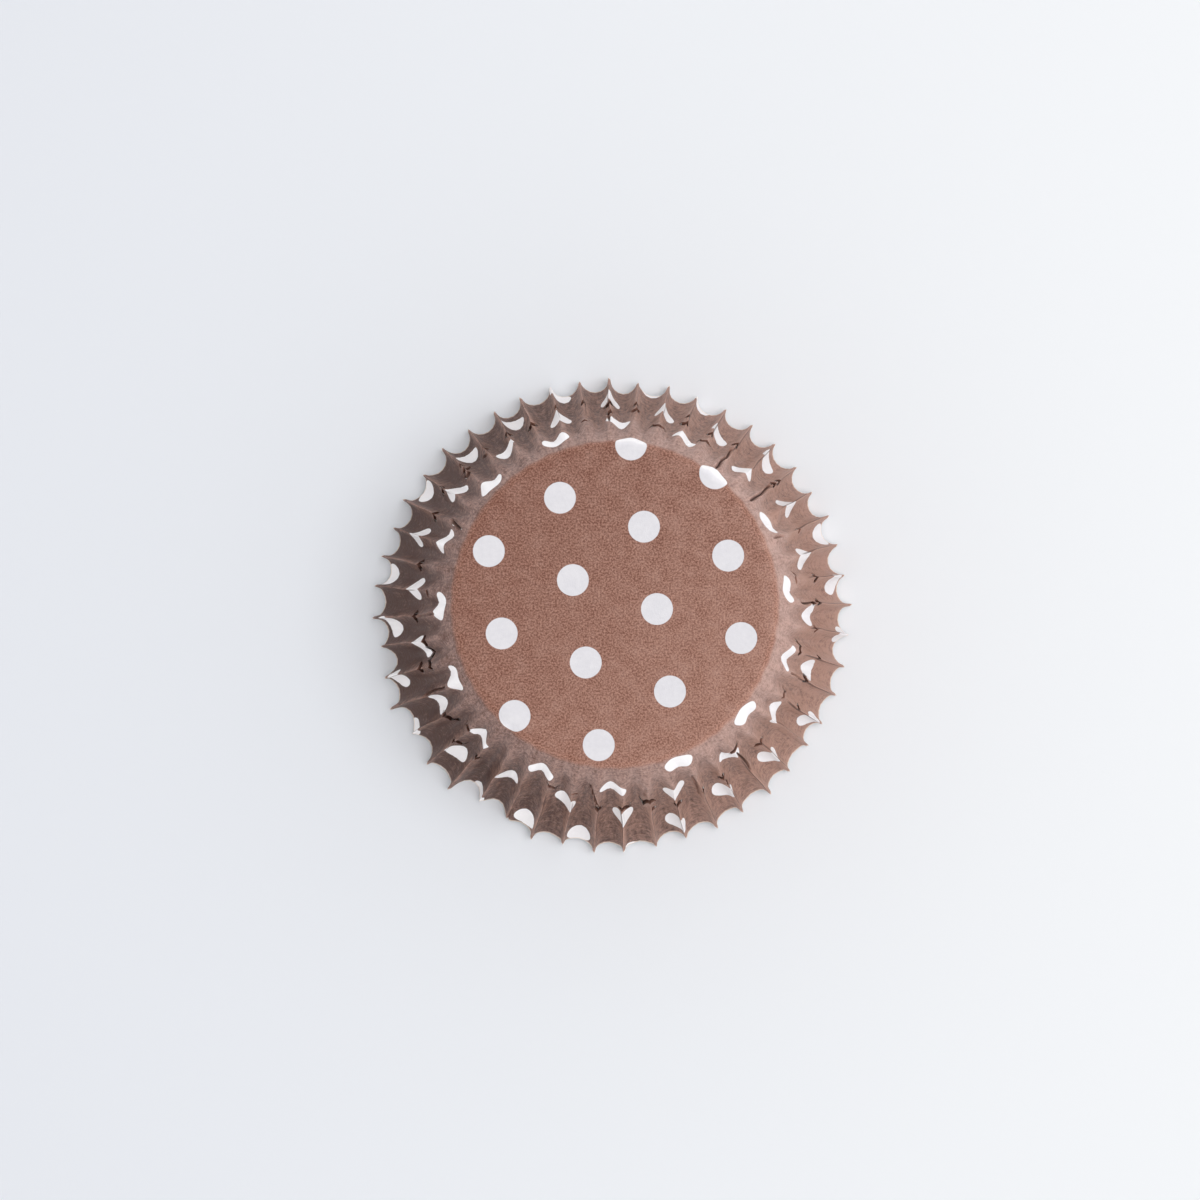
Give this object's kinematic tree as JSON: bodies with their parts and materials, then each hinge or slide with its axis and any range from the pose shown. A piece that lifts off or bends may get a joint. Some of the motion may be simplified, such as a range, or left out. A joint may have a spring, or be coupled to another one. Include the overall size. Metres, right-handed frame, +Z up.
{
  "type": "baking cup",
  "caption": "Round paper baking cup with a flat base and a flaring fluted wall, set down on its open rim, that holds a small cake as it bakes.",
  "frame": {"origin": "on the cup's axis, level with the lowest points of the open rim, which is the surface that it stands on upside down", "axes": "+Z up along the cup's axis, from the open rim to the flat base; X and Y are level, and neither has a front"},
  "size_m": [0.0782, 0.0782, 0.0319],
  "materials": {
    "paper": "matte printed greaseproof paper"
  },
  "bodies": {
    "root": {"liner": "paper"}
  },
  "joints": []
}
